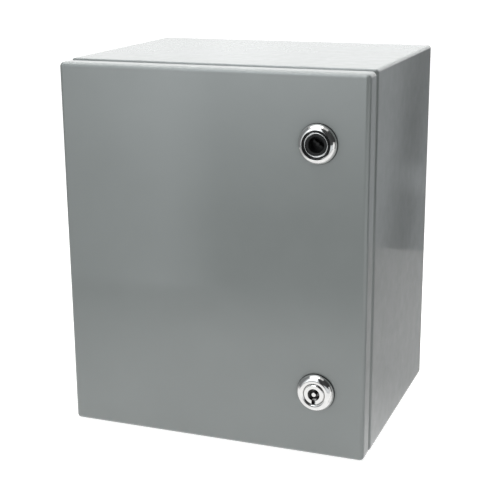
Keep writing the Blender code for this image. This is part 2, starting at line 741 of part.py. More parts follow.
def build_drive_insert(start, flange_radius, radius, flange_floor, floor):
    """The black drive: a round pocket for the key, with a double-bit bar and a pin at its floor."""
    face = 4.7 * MM
    pocket_radius = 6 * MM
    pocket_floor = -4 * MM
    chamfer = 0.4 * MM
    pin_radius = 1.5 * MM
    pin_height = 1.2 * MM
    profile = [
        (0, pin_height),
        (pin_radius, pin_height),
        (pin_radius, pocket_floor),
        (pocket_radius, pocket_floor),
        (pocket_radius, face - chamfer),
        (pocket_radius + chamfer, face),
        (flange_radius, face),
        (flange_radius, flange_floor),
        (radius, flange_floor),
        (radius, floor),
        (0, floor),
    ]
    name = "upper_lock_insert"
    insert = turned(name, profile, start, "front", BLACK_PLASTIC, sides=LARGE_ROUND)
    bar_half_length = 4.2 * MM
    bar_half_thickness = 0.8 * MM
    bar_top = 0.6 * MM
    half = Vector((bar_half_length, bar_half_thickness, 0))
    low = Vector((0, 0, pocket_floor - OVERSHOOT / 10)) - half
    high = Vector((0, 0, bar_top)) + half
    bar = box("upper_lock_bit", low, high)
    turn = Matrix.Rotation(radians(-38), 4, "Z")
    bar.matrix_world = Matrix.Translation(start) @ FACING["front"] @ turn @ bar.matrix_world
    join(insert, bar)


def build_lower_lock(height):
    """Flush lock for a tubular key: a ring-shaped keyway round a centre post, with one slot at the bottom."""
    bore = 8.55 * MM
    build_lock_mount("lower", height, [(bore, -SHANK_END), (bore, LOCK_PROUD)])
    start = point(LOCK_X, 0, height)
    radius = bore - GAP
    post = 1.75 * MM
    post_height = LOCK_PROUD - 0.4 * MM
    keyway = 4.75 * MM
    keyway_floor = -1 * MM
    chamfer = 0.3 * MM
    profile = [
        (0, post_height),
        (post, post_height),
        (post, keyway_floor),
        (keyway, keyway_floor),
        (keyway, LOCK_PROUD),
        (radius - chamfer, LOCK_PROUD),
        (radius, LOCK_PROUD - chamfer),
        (radius, -CAM_FRONT + GAP),
        (0, -CAM_FRONT + GAP),
    ]
    barrel = turned("lower_lock_barrel", profile, start, "front", CHROME, sides=LARGE_ROUND)
    slot_half = 1.6 * MM
    slot_bottom = -7.6 * MM
    slot_top = -3.5 * MM
    slot_floor = -2 * MM
    low = point(LOCK_X - slot_half, -LOCK_PROUD - OVERSHOOT, height + slot_bottom)
    high = point(LOCK_X + slot_half, slot_floor, height + slot_top)
    cut(barrel, box("lower_lock_slot_cutter", low, high))
    add_barrel_tail(barrel, "lower", height)
    build_lock_cam("lower", height)


def add_axis(name, place, parent=None):
    """An empty on a joint's axis, which carries the pieces that move with it."""
    axis = bpy.data.objects.new(name, None)
    axis.empty_display_size = 0.02
    parts.objects.link(axis)
    axis.matrix_world = Matrix.Translation(place)
    if parent:
        hang(axis, parent)
    return axis


def hang(obj, parent):
    """Parents a piece without moving it."""
    world = obj.matrix_world.copy()
    bpy.context.view_layer.update()
    obj.parent = parent
    obj.matrix_parent_inverse = parent.matrix_world.inverted()
    obj.matrix_world = world


def build_joints():
    """The door hangs on its hinge axis, and each lock's rotor on its own axis in the door."""
    hinge = add_axis("door_hinge_axis", point(HINGE_X, HINGE_DEPTH, HEIGHT / 2))
    rotor_pieces = {
        "upper": ("barrel", "insert", "cam", "cam_screw"),
        "lower": ("barrel", "cam", "cam_screw"),
    }
    rotors = {}
    for place, pieces in rotor_pieces.items():
        axis = add_axis(f"{place}_lock_axis", point(LOCK_X, 0, LOCK_HEIGHTS[place]), hinge)
        for piece in pieces:
            rotors[f"{place}_lock_{piece}"] = axis
    door_pieces = ("door_", "upper_lock", "lower_lock")
    hinge_pieces = ("hinge_leaf", "hinge_stud", "hinge_nut")
    for obj in [item for item in parts.objects if item.type == "MESH"]:
        if obj.name in rotors:
            hang(obj, rotors[obj.name])
        elif obj.name.startswith(door_pieces) or any(word in obj.name for word in hinge_pieces):
            hang(obj, hinge)


clear_scene()
parts = new_collection("switchboard_cabinet")
cutters = new_collection("cutters")

build_body()
build_wall_hole_plugs()
build_mounting_plate()
build_gland_plate()
build_earth_point("body", point(-WIDTH / 2 + BODY_SHEET + GAP, *BODY_EARTH_POINT), "right")
build_door()
build_door_gasket()
build_earth_point("door", point(DOOR_EARTH_POINT[0], DOOR_INNER, DOOR_EARTH_POINT[1]), "back")
for side, hinge_height in HINGE_HEIGHTS.items():
    build_hinge(side, hinge_height)
build_upper_lock(LOCK_HEIGHTS["upper"])
build_lower_lock(LOCK_HEIGHTS["lower"])
build_joints()
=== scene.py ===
"""The looks of a small grey switchboard cabinet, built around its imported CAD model.

Metres, in the CAD model's own frame: +X to the right, +Y from the door to the back, +Z up.
"""

import json
from math import acos, cos, pi, radians, sin, sqrt

import bmesh
import bpy
from mathutils import Matrix, Vector, noise


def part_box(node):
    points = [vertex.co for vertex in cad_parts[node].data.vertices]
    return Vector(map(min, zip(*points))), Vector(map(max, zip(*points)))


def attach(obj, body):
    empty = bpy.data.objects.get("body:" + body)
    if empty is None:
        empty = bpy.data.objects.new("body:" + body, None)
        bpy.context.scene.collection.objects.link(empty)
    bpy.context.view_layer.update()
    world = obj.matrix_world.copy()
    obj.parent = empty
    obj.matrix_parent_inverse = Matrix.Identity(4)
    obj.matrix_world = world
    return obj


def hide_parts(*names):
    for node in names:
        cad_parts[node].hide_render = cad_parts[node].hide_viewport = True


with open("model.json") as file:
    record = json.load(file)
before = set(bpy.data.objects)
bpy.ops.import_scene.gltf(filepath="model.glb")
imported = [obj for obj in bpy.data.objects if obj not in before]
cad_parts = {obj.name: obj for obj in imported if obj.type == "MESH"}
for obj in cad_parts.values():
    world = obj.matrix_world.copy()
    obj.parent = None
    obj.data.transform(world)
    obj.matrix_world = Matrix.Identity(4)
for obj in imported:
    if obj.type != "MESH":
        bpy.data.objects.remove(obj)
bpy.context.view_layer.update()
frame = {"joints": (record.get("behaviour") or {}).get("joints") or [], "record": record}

MM = 0.001
GAP = 0.3 * MM  # the CAD model's clearance between neighbours
DOOR_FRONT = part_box("door_panel")[0].y

# Where there are four pieces of a kind, their names end with these
BACK_CORNERS = ("upper_left", "upper_right", "lower_left", "lower_right")
BASE_CORNERS = ("front_left", "front_right", "back_left", "back_right")

record = frame["record"]
bodies = record["behaviour"]["bodies"]
body_of = {node: body for body, nodes in bodies.items() for node in nodes}
slot_of = {part["node"]: part["material_slot"] for part in record["subparts"]}

# Ways that a piece's own +Z is turned
UP = Matrix.Identity(4)
FRONT = Matrix.Rotation(pi / 2, 4, "X")
BACK = Matrix.Rotation(-pi / 2, 4, "X")
RIGHT = Matrix.Rotation(pi / 2, 4, "Y")


# ---- materials


class Shader:
    """A Principled material with a few helpers for its nodes.

    Textures follow the object's own metres, and every period and depth is a length.
    """

    def __init__(self, name, colour, roughness, metallic=0.0, **constants):
        self.material = bpy.data.materials.new(name)
        self.material.use_nodes = True
        self.tree = self.material.node_tree
        self.principled = self.tree.nodes["Principled BSDF"]
        self.set("Base Color", (*colour, 1))
        self.set("Roughness", roughness)
        self.set("Metallic", metallic)
        for socket, value in constants.items():
            self.set(socket.replace("_", " "), value)
        self.place = self.tree.nodes.new("ShaderNodeTexCoord").outputs["Object"]
        self.height = None

    def set(self, socket, value):
        self.principled.inputs[socket].default_value = value

    def link(self, output, socket):
        self.tree.links.new(output, self.principled.inputs[socket])

    def node(self, kind, settings=None, **inputs):
        made = self.tree.nodes.new(kind)
        for key, value in (settings or {}).items():
            setattr(made, key, value)
        for key, value in inputs.items():
            socket = made.inputs[key.replace("_", " ")]
            if isinstance(value, bpy.types.NodeSocket):
                self.tree.links.new(value, socket)
            else:
                socket.default_value = value
        return made

    def noise(self, period, detail=2.0, distortion=0.0):
        """Smooth noise whose blobs are about one period across."""
        inputs = {"Scale": 1 / period, "Detail": detail, "Distortion": distortion}
        return self.node("ShaderNodeTexNoise", Vector=self.place, **inputs).outputs["Fac"]

    def cells(self, period, output="Distance"):
        """Voronoi cells about one period across."""
        made = self.node("ShaderNodeTexVoronoi", Vector=self.place, Scale=1 / period)
        return made.outputs[output]

    def remap(self, value, low, high, from_low=0.3, from_high=0.7):
        """Stretches from_low to from_high, by default noise's usual range, over low to high."""
        ends = {"From_Min": from_low, "From_Max": from_high, "To_Min": low, "To_Max": high}
        return self.node("ShaderNodeMapRange", {"clamp": True}, Value=value, **ends).outputs[0]

    def colours(self, value, stops):
        """A colour ramp with (position, colour) stops."""
        ramp = self.node("ShaderNodeValToRGB", Fac=value)
        elements = ramp.color_ramp.elements
        while len(elements) < len(stops):
            elements.new(0.5)
        for element, (position, colour) in zip(elements, stops):
            element.position = position
            element.color = (*colour, 1)
        self.link(ramp.outputs["Color"], "Base Color")

    def rough(self, value, low, high):
        self.link(self.remap(value, low, high), "Roughness")

    def bump(self, value, depth, strength=1.0):
        """Adds relief of a depth on top of what is there already."""
        made = self.node("ShaderNodeBump", Height=value, Distance=depth, Strength=strength)
        if self.height:
            self.tree.links.new(self.height, made.inputs["Normal"])
        self.height = made.outputs["Normal"]
        self.link(self.height, "Normal")


def tint(colour, factor):
    return tuple(channel * factor for channel in colour)


def grey_paint():
    """Glossy enamel on sheet steel: slight waviness, fine orange peel and faint specks."""
    colour = (0.184, 0.203, 0.199)
    shader = Shader("grey_paint", colour, 0.34, Coat_Weight=1.0, Coat_Roughness=0.09, Coat_IOR=1.5)
    patches = shader.noise(50 * MM, 4)
    shader.colours(patches, ((0.3, tint(colour, 0.98)), (0.7, tint(colour, 1.02))))
    shader.rough(shader.noise(10 * MM, 4), 0.3, 0.38)
    shader.bump(shader.noise(90 * MM, 1), 0.7 * MM)
    shader.bump(shader.noise(2.4 * MM, 1), 0.0035 * MM)
    shader.bump(shader.noise(0.6 * MM, 2), 0.0012 * MM)
    shader.link(shader.height, "Coat Normal")
    return shader.material


CHROME = (0.77, 0.77, 0.76)


def add_swirls(shader):
    """Faint marks of the polishing."""
    shader.rough(shader.noise(1.5 * MM, 6, 1.5), 0.05, 0.14)
    shader.bump(shader.noise(0.9 * MM, 3), 0.02 * MM, 0.25)
    return shader.material


def chrome():
    """Polished plate."""
    shader = Shader("chrome", CHROME, 0.09, 1.0)
    patches = shader.noise(8 * MM, 3)
    shader.colours(patches, ((0.35, tint(CHROME, 0.94)), (0.7, tint(CHROME, 1.03))))
    return add_swirls(shader)


def keyway_chrome_painted_shade():
    """Polished plate whose colour darkens to near black with depth below the lower barrel's face:
    painted shade in the keyway.
    """
    shader = Shader("keyway_chrome_painted_shade", CHROME, 0.09, 1.0)
    depth = shader.node("ShaderNodeSeparateXYZ", Vector=shader.place).outputs["Y"]
    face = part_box("lower_lock_barrel")[0].y
    # painted shade: the colour runs from clean chrome at the first depth to near black at the
    # second, behind the barrel's face
    unshaded_to, fully_shaded_from = 0.6 * MM, 5.2 * MM
    painted_shade = shader.remap(depth, 0, 1, face + unshaded_to, face + fully_shaded_from)
    shares = ((0.0, 1), (0.5, 0.6), (0.85, 0.35), (1.0, 0.12))
    shader.colours(painted_shade, [(position, tint(CHROME, share)) for position, share in shares])
    return add_swirls(shader)


def galvanised_sheet():
    """Zinc spangle: flat crystals, each a shade of its own."""
    colour = (0.52, 0.535, 0.545)
    shader = Shader("galvanised_sheet", colour, 0.4, 1.0)
    crystals = shader.cells(11 * MM, output="Color")
    single = shader.node("ShaderNodeSeparateColor", Color=crystals).outputs[0]
    shader.colours(single, ((0.0, tint(colour, 0.86)), (1.0, tint(colour, 1.14))))
    shader.link(shader.remap(single, 0.3, 0.5, 0, 1), "Roughness")
    shader.bump(shader.cells(11 * MM), 0.1 * MM, 0.2)
    shader.bump(shader.noise(1.2 * MM, 3), 0.03 * MM, 0.3)
    return shader.material


def mottled(name, colour, roughness, patches, gloss, grain, metallic=0.0, **constants):
    """A material whose colour, gloss and grain each follow a noise of their own."""
    shader = Shader(name, colour, roughness, metallic, **constants)
    noise_size, *stops = patches
    shader.colours(shader.noise(*noise_size), stops)
    noise_size, low, high = gloss
    shader.rough(shader.noise(*noise_size), low, high)
    noise_size, depth, strength = grain
    shader.bump(shader.noise(*noise_size), depth, strength)
    return shader.material


def zinc_plate():
    """Clear zinc plating, slightly blue and slightly cloudy."""
    patches = (6 * MM, 4), (0.3, (0.56, 0.58, 0.6)), (0.7, (0.68, 0.67, 0.63))
    gloss = (2 * MM, 5), 0.22, 0.42
    grain = (0.7 * MM, 3), 0.03 * MM, 0.3
    return mottled("zinc_plate", (0.62, 0.63, 0.64), 0.3, patches, gloss, grain, 1.0)


def brass():
    """Turned brass, a little tarnished."""
    colour = (0.74, 0.55, 0.26)
    patches = (5 * MM, 4), (0.3, (0.6, 0.41, 0.17)), (0.65, colour)
    gloss = (2 * MM, 5), 0.2, 0.42
    grain = (0.6 * MM, 2), 0.03 * MM, 0.25
    return mottled("brass", colour, 0.28, patches, gloss, grain, 1.0)


def black_plastic():
    """Moulded plastic with a fine spark-eroded grain."""
    colour = (0.011, 0.012, 0.012)
    patches = (4 * MM, 3), (0.3, tint(colour, 0.8)), (0.7, tint(colour, 1.25))
    gloss = (1.5 * MM, 4), 0.3, 0.46
    grain = (0.3 * MM, 2), 0.03 * MM, 0.3
    return mottled("black_plastic", colour, 0.38, patches, gloss, grain, Specular_IOR_Level=0.2)


def black_rubber():
    """Matt rubber with a slight bloom."""
    colour = (0.009, 0.009, 0.0095)
    patches = (3 * MM, 4), (0.3, tint(colour, 0.8)), (0.7, tint(colour, 1.5))
    gloss = (1 * MM, 4), 0.6, 0.82
    grain = (0.4 * MM, 3), 0.04 * MM, 0.4
    return mottled("black_rubber", colour, 0.7, patches, gloss, grain, Specular_IOR_Level=0.2)


def black_foam():
    """Foamed-in-place polyurethane: a skin with fine open pores."""
    colour = (0.035, 0.035, 0.036)
    shader = Shader("black_foam", colour, 0.9, Sheen_Weight=0.15)
    # the colour darkens towards each pore's middle, where the bump sinks in: painted shade in the
    # pores
    shader.colours(shader.cells(1.1 * MM), ((0.0, tint(colour, 0.35)), (0.35, tint(colour, 1.2))))
    shader.rough(shader.noise(2 * MM, 4), 0.82, 0.97)
    shader.bump(shader.cells(1.1 * MM), 0.3 * MM, 0.6)
    shader.bump(shader.noise(6 * MM, 2), 0.6 * MM, 0.3)
    return shader.material


METALS = (grey_paint, chrome, keyway_chrome_painted_shade, galvanised_sheet, zinc_plate, brass)
BLACKS = (black_plastic, black_rubber, black_foam)
MATERIALS = {make.__name__: make() for make in METALS + BLACKS}


# ---- mesh helpers


def smooth(mesh, angle=32):
    mesh.shade_smooth()
    mesh.set_sharp_from_angle(angle=radians(angle))


def finish_mesh(name, bm, place=UP):
    """Turns a bmesh into a mesh whose vertices are where they belong in the frame."""
    bmesh.ops.recalc_face_normals(bm, faces=bm.faces)
    mesh = bpy.data.meshes.new(name)
    bm.to_mesh(mesh)
    bm.free()
    mesh.transform(place)
    smooth(mesh)
    return mesh


def add(name, data):
    obj = bpy.data.objects.new(name, data)
    bpy.context.scene.collection.objects.link(obj)
    return obj


def show(obj, node, material=None):
    """The piece stands for a CAD node: it takes that node's body and slot, and its material."""
    obj.data.materials.clear()
    obj.data.materials.append(MATERIALS[material or slot_of[node]])
    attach(obj, body_of[node])
    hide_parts(node)


def tool(name, mesh):
    """A cutter: it shapes other pieces and isn't shown itself."""
    obj = add(name, mesh)
    obj.hide_render = True
    obj.hide_viewport = True
    return obj


def evaluated_mesh(obj):
    bpy.context.view_layer.update()
    graph = bpy.context.evaluated_depsgraph_get()
    return bpy.data.meshes.new_from_object(obj.evaluated_get(graph))


def modify(obj, kind, **settings):
    modifier = obj.modifiers.new(kind, kind)
    for key, value in settings.items():
        setattr(modifier, key, value)


def cut(obj, cutters, operation="DIFFERENCE"):
    """Cuts with each tool in turn, or joins it on, and removes the tools."""
    for cutter in cutters:
        cutter.hide_viewport = False
        modify(obj, "BOOLEAN", object=cutter, operation=operation, solver="EXACT")
    mesh = evaluated_mesh(obj)
    obj.modifiers.clear()
    obj.data = mesh
    for cutter in cutters:
        bpy.data.objects.remove(cutter)


def soften(obj, width, segments=2, angle=35):
    """Rounds the piece's edges and keeps its flats flat."""
    limit = {"limit_method": "ANGLE", "angle_limit": radians(angle)}
    modify(obj, "BEVEL", width=width, segments=segments, **limit)
    flatten(obj)


def flatten(obj):
    """Weighs normals by face, so that a large flat face shades flat up to its rounded edges."""
    modify(obj, "WEIGHTED_NORMAL", keep_sharp=True, weight=80)


def arc(centre, radius, first, last, steps):
    """Points on a circle from the first angle to the last."""
    angles = [first + (last - first) * i / steps for i in range(steps + 1)]
    return [(centre[0] + radius * cos(a), centre[1] + radius * sin(a)) for a in angles]


def circle(radius, sides):
    return arc((0, 0), radius, 0, 2 * pi * (sides - 1) / sides, sides - 1)


def fillet(points, steps=4, closed=False):
    """Rounds each (x, y, radius) corner of an outline; a plain (x, y) corner stays sharp."""
    rounded = []
    count = len(points)
    for i, corner in enumerate(points):
        here = Vector(corner[:2])
        radius = corner[2] if len(corner) > 2 else 0
        inner = closed or 0 < i < count - 1
        if not radius or not inner:
            rounded.append(tuple(here))
            continue
        before = Vector(points[i - 1][:2]) - here
        after = Vector(points[(i + 1) % count][:2]) - here
        half = before.angle(after) / 2
        wanted = radius / max(0.01, abs(sin(half) / cos(half)))
        reach = min(wanted, before.length * 0.49, after.length * 0.49)
        start = here + before.normalized() * reach
        end = here + after.normalized() * reach
        for step in range(steps + 1):
            t = step / steps
            rounded.append(tuple(start * (1 - t) ** 2 + here * 2 * t * (1 - t) + end * t**2))
    return rounded


def in_mm(rows):
    return [tuple(value * MM for value in row) for row in rows]


def rectangle(half_x, half_y, radius=0):
    """An outline round the origin, with its corners rounded."""
    corners = ((-half_x, -half_y), (half_x, -half_y), (half_x, half_y), (-half_x, half_y))
    return fillet([(*corner, radius) for corner in corners], closed=True)


def washer_rows(bore, rim, top, bottom, rim_edge, bore_edge=0):
    """A flat ring with its edges rounded."""
    upper = [(bore, top, bore_edge), (rim, top, rim_edge)]
    return fillet(upper + [(rim, bottom, rim_edge), (bore, bottom, bore_edge)], closed=True)


def revolve(name, rows, place, sides, ring=False):
    """A turned solid from rows of (radius, height).

    A radius may be a function of the angle and height, and a ring has a hole down its middle.
    """
    bm = bmesh.new()
    loops = []
    for radius, height in rows:
        if not callable(radius) and radius < 1e-7:
            loops.append([bm.verts.new((0, 0, height))] * sides)
            continue
        loop = []
        for i in range(sides):
            angle = 2 * pi * i / sides
            reach = radius(angle, height) if callable(radius) else radius
            loop.append(bm.verts.new((reach * cos(angle), reach * sin(angle), height)))
        loops.append(loop)
    pairs = list(zip(loops, loops[1:]))
    if ring:
        pairs.append((loops[-1], loops[0]))
    for upper, lower in pairs:
        for i in range(sides):
            j = (i + 1) % sides
            # a row on the axis is one point, so its faces are triangles
            corners = dict.fromkeys((upper[i], lower[i], lower[j], upper[j]))
            bm.faces.new(tuple(corners))
    return finish_mesh(name, bm, place)


def slab(name, outlines, thickness, place):
    """A flat piece from an outline with holes, between heights 0 and its thickness."""
    curve = bpy.data.curves.new(name, "CURVE")
    curve.dimensions = "2D"
    curve.fill_mode = "BOTH"
    curve.extrude = thickness / 2
    for outline in outlines:
        spline = curve.splines.new("POLY")
        spline.points.add(len(outline) - 1)
        for spot, (x, y) in zip(spline.points, outline):
            spot.co = (x, y, 0, 1)
        spline.use_cyclic_u = True
    guide = add(name, curve)
    mesh = evaluated_mesh(guide)
    bpy.data.objects.remove(guide)
    bm = bmesh.new()
    bm.from_mesh(mesh)
    bmesh.ops.remove_doubles(bm, verts=bm.verts, dist=0.000002)
    bmesh.ops.translate(bm, vec=(0, 0, thickness / 2), verts=bm.verts)
    bmesh.ops.dissolve_limit(bm, angle_limit=radians(1), verts=bm.verts, edges=bm.edges)
    return finish_mesh(name, bm, place)


def new_box(size):
    bm = bmesh.new()
    bmesh.ops.create_cube(bm, size=1)
    bmesh.ops.transform(bm, matrix=Matrix.Diagonal((*size, 1)), verts=bm.verts)
    return bm


def block(name, low, high):
    """A plain box, for cutting and joining."""
    return finish_mesh(name, new_box(high - low), Matrix.Translation((low + high) / 2))


def hole(start, radius, length, turn=BACK, sides=64):
    """A cutter for a round hole that begins at start and runs along the turned +Z."""
    rows = [(0, length), (radius, length), (radius, 0), (0, 0)]
    return tool("hole", revolve("hole", rows, Matrix.Translation(start) @ turn, sides))


def show_turned(node, rows, place, sides, ring=False):
    """Turns a solid from its rows, and shows it for its node."""
    show(add(node + "_shown", revolve(node, rows, place, sides, ring)), node)


def middle(node):
    low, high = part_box(node)
    return (low + high) / 2


def on_axis(node, y):
    """The point at y on the line through the node's middle from front to back."""
    centre = middle(node)
    return Vector((centre.x, y, centre.z))


# ---- sheet metal


DOOR_SHEET = 1.5 * MM
DOOR_BEND = 3.5 * MM
BODY_SHEET = 1.2 * MM
BODY_BEND = 2.5 * MM
BODY_RIM_BEND = 4 * MM
LEVEL_RIM_SHARE = 0.3  # a level rim's bend, as a share of an upright one's
RETURN_DEPTH = 20 * MM  # from the door's face: its 15 mm fold and the 5 mm gap
RETURN_WIDTH = 22 * MM
GLAND_BORDER = 15 * MM
GLAND_HOLE = 2.4 * MM
SHANK_HOLE = 10.3 * MM
THROUGH = 5 * MM  # how far a cutter stands out of the sheet


def folded_shell(name, low, high, open_side, bend, sheet, folds=(), rim_bend=None):
    """Bent sheet: a box with one open side, whose rim is folded again by each move in folds.

    A rim_bend is the radius of the open side's upright edges; its level ones have a share of it.
    """
    rim_bend = rim_bend or bend
    bm = new_box(high - low)
    lid = [face for face in bm.faces if face.normal.dot(open_side) > 0.5]
    lid_outline = [vert for face in lid for vert in face.verts]
    bmesh.ops.delete(bm, geom=lid, context="FACES_ONLY")
    for inward, along in folds:
        rim = [edge for edge in bm.edges if edge.is_boundary]
        grown = bmesh.ops.extrude_edge_only(bm, edges=rim)["geom"]
        for vert in [item for item in grown if isinstance(item, bmesh.types.BMVert)]:
            vert.co.x -= inward if vert.co.x > 0 else -inward
            vert.co.z -= inward if vert.co.z > 0 else -inward
            vert.co += open_side * along
    bmesh.ops.recalc_face_normals(bm, faces=bm.faces)
    widths = bm.edges.layers.float.new("bevel_weight_edge")
    for edge in bm.edges:
        if len(edge.link_faces) == 2 and edge.calc_face_angle() > radians(30):
            edge[widths] = bend / rim_bend
            if all(vert in lid_outline for vert in edge.verts):
                start, end = (vert.co for vert in edge.verts)
                upright = abs(end.z - start.z) > abs(end.x - start.x)
                edge[widths] = 1 if upright or rim_bend == bend else LEVEL_RIM_SHARE
    shell = add(name, finish_mesh(name, bm, Matrix.Translation((low + high) / 2)))
    modify(shell, "BEVEL", width=rim_bend, segments=6, limit_method="WEIGHT")
    modify(shell, "SOLIDIFY", thickness=sheet, offset=-1, use_even_offset=True)
    return shell


def round_paint(obj):
    """The paint rounds off the sheet's cut edges."""
    smooth(obj.data)
    soften(obj, 0.25 * MM, 2, 50)


def build_door_panel():
    low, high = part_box("door_panel")
    sag = 1 * MM  # lowers the top edge, so that the gap above it shows as it does in the photo
    door_high = high - Vector((0, 0, sag))
    open_side = Vector((0, 1, 0))
    door = folded_shell("door_panel_shown", low, door_high, open_side, DOOR_BEND, DOOR_SHEET)
    cutters = []
    for place in ("upper", "lower"):
        start = on_axis(place + "_lock_housing", low.y - THROUGH)
        cutters.append(hole(start, SHANK_HOLE, 2 * THROUGH))
        bracket_low, bracket_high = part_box(place + "_hinge_bracket")
        room = 2 * MM
        notch_low = Vector((low.x - THROUGH, low.y + 2.5 * MM, bracket_low.z - room))
        notch_high = Vector((low.x + 1.8 * MM, high.y + THROUGH, bracket_high.z + room))
        cutters.append(tool("notch", block("notch", notch_low, notch_high)))
    cut(door, cutters)
    round_paint(door)
    show(door, "door_panel")


def build_enclosure_body():
    low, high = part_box("enclosure_body")
    return_front = DOOR_FRONT + RETURN_DEPTH
    lip = return_front - low.y
    shell_low = Vector((low.x, return_front, low.z))
    shell = folded_shell(
        "enclosure_body_shown",
        shell_low,
        high,
        Vector((0, -1, 0)),
        BODY_BEND,
        BODY_SHEET,
        folds=((RETURN_WIDTH, 0), (0, lip)),
        rim_bend=BODY_RIM_BEND,
    )
    cutters = []
    for side in BACK_CORNERS:
        start = on_axis("wall_hole_plug_" + side, high.y - THROUGH)
        cutters.append(hole(start, 4.25 * MM, 2 * THROUGH))
    for side in BASE_CORNERS:
        centre = middle("gland_plate_screw_" + side)
        start = Vector((centre.x, centre.y, -THROUGH))
        cutters.append(hole(start, GLAND_HOLE, 2 * THROUGH, UP))
    gland_low, gland_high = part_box("gland_plate")
    opening_low = Vector((gland_low.x + GLAND_BORDER, gland_low.y + GLAND_BORDER, -THROUGH))
    opening_high = Vector((gland_high.x - GLAND_BORDER, gland_high.y - GLAND_BORDER, THROUGH))
    cutters.append(tool("opening", block("opening", opening_low, opening_high)))
    cut(shell, cutters)
    round_paint(shell)
    show(shell, "enclosure_body")


def build_mounting_plate():
    low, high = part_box("mounting_plate")
    half = (high - low) / 2
    outline = rectangle(half.x, half.z, 2 * MM)
    place = Matrix.Translation(on_axis("mounting_plate", high.y)) @ FRONT
    mesh = slab("mounting_plate", [outline], high.y - low.y, place)
    plate = add("mounting_plate_shown", mesh)
    cutters = []
    for side in BACK_CORNERS:
        start = on_axis("mounting_plate_stud_" + side, low.y - THROUGH)
        cutters.append(hole(start, 3.4 * MM, 3 * THROUGH))
    cut(plate, cutters)
    smooth(plate.data)
    soften(plate, 0.3 * MM)
    show(plate, "mounting_plate")


def build_gland_plate():
    """The plate over the base's opening, and its gasket, which is open in the middle."""
    for node in ("gland_plate", "gland_plate_gasket"):
        low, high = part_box(node)
        centre = middle(node)
        half = (high - low) / 2
        outlines = [rectangle(half.x, half.y, 4 * MM)]
        if node == "gland_plate_gasket":
            outlines.append(rectangle(half.x - GLAND_BORDER, half.y - GLAND_BORDER))
        for side in BASE_CORNERS:
            spot = middle("gland_plate_screw_" + side) - centre
            outlines.append([(spot.x + x, spot.y + y) for x, y in circle(GLAND_HOLE, 32)])
        place = Matrix.Translation((centre.x, centre.y, low.z))
        plate = add(node + "_shown", slab(node, outlines, high.z - low.z, place))
        soften(plate, 0.25 * MM)
        show(plate, node)


# ---- fasteners


# Outer radius and pitch of a thread
M4 = (2 * MM, 0.7 * MM)
M6 = (3 * MM, 1 * MM)
M6_FLATS = 10 * MM


def hexagon_radius(across_flats):
    """The hexagon's reach at an angle; two of its flats face the piece's own +X and -X."""

    def reach(angle, height=0.0):
        sector = (angle + pi / 6) % (pi / 3) - pi / 6
        return across_flats / 2 / cos(sector)

    return reach


def nut_rows(across_flats, thickness, bore, base=0.0):
    """Rows for a hexagon nut with chamfered corners and a countersunk, threaded bore."""
    sink = 0.3 * MM
    flat = hexagon_radius(across_flats)
    corner = across_flats / sqrt(3)
    washer_face = across_flats / 2 * 0.96
    chamfer = (corner - washer_face) * 0.5
    steps = 5

    def limited(angle, height):
        from_end = min(height - base, base + thickness - height)
        cone = washer_face + (corner - washer_face) * from_end / chamfer
        return min(flat(angle), cone)

    rows = [(bore + sink, base + thickness), (washer_face, base + thickness)]
    rows += [(limited, base + thickness - chamfer * i / steps) for i in range(1, steps + 1)]
    rows += [(limited, base + chamfer * i / steps) for i in range(steps, 0, -1)]
    rows += [(washer_face, base), (bore + sink, base), (bore, base + sink)]
    pitch = 0.8 * MM
    groove = 0.12 * MM
    turns = int((thickness - 2 * sink) / pitch)
    for i in range(1, turns * 2):
        rows.append((bore + (groove if i % 2 else 0), base + sink + i * pitch / 2))
    rows.append((bore, base + thickness - sink))
    return rows


def thread(radius, pitch, depth, start, end):
    """Rows of a helical thread from its upper end down to its lower one."""

    def reach(angle, height):
        phase = (height / pitch - angle / (2 * pi)) % 1
        from_end = min(height - end, start - height)
        grown = min(1, max(0, from_end / (0.6 * pitch)))
        return radius - depth + depth * grown * (1 - abs(2 * phase - 1))

    count = max(2, int((start - end) / pitch * 8))
    return [(reach, start - (start - end) * i / count) for i in range(count + 1)]


def build_stud(node, start, turn, size, length, foot, shoulder=False):
    """A weld stud: a chamfered, threaded tip above its foot, a low flange or a tall shoulder."""
    radius, pitch = size
    foot_radius, foot_height = foot
    neck = radius - 0.3 * MM
    tip = 0.3 * MM
    run_out = 0.4 * MM
    edge = 0.2 * MM
    rows = [(0, length), (radius - 2 * tip, length), (radius - 1.5 * tip, length - tip)]
    rows += thread(radius, pitch, pitch * 0.55, length - tip, foot_height + run_out)
    rows.append((neck, foot_height + run_out - edge))
    if shoulder:
        rows += [
            (neck, foot_height), (foot_radius - 2 * edge, foot_height),
            (foot_radius, foot_height - 2 * edge), (foot_radius, edge), (foot_radius - edge, 0),
        ]
    else:
        rows += [
            (foot_radius - edge, foot_height), (foot_radius, foot_height - edge), (foot_radius, 0),
        ]
    rows.append((0, 0))
    show_turned(node, rows, Matrix.Translation(start) @ turn, 40)


PAN_HEAD = 1.25  # its height, as a share of the thread's outer radius


def build_pan_screw(node, start, turn, radius, length, socket):
    """A pan-head screw with a hexagon socket and a threaded shank."""
    head_radius = radius * 1.9
    head_height = radius * PAN_HEAD
    recess = head_height * 0.45
    wall = hexagon_radius(socket)
    rows = [(0, recess - 0.15 * MM), (wall, recess), (wall, head_height - 0.1 * MM)]
    rim = head_radius * 0.62
    rows.append((rim, head_height))
    rows += fillet(
        [
            (rim, head_height), (head_radius * 0.93, head_height * 0.66, 0.6 * MM),
            (head_radius, 0.25 * MM, 0.3 * MM), (head_radius - 0.25 * MM, 0),
        ]
    )[1:]
    rows.append((radius - 0.3 * MM, 0))
    rows += thread(radius, 0.8 * MM, 0.4 * MM, -0.3 * MM, -length + 0.4 * MM)
    rows += [(radius - 0.7 * MM, -length), (0, -length)]
    show_turned(node, rows, Matrix.Translation(start) @ turn, 60)


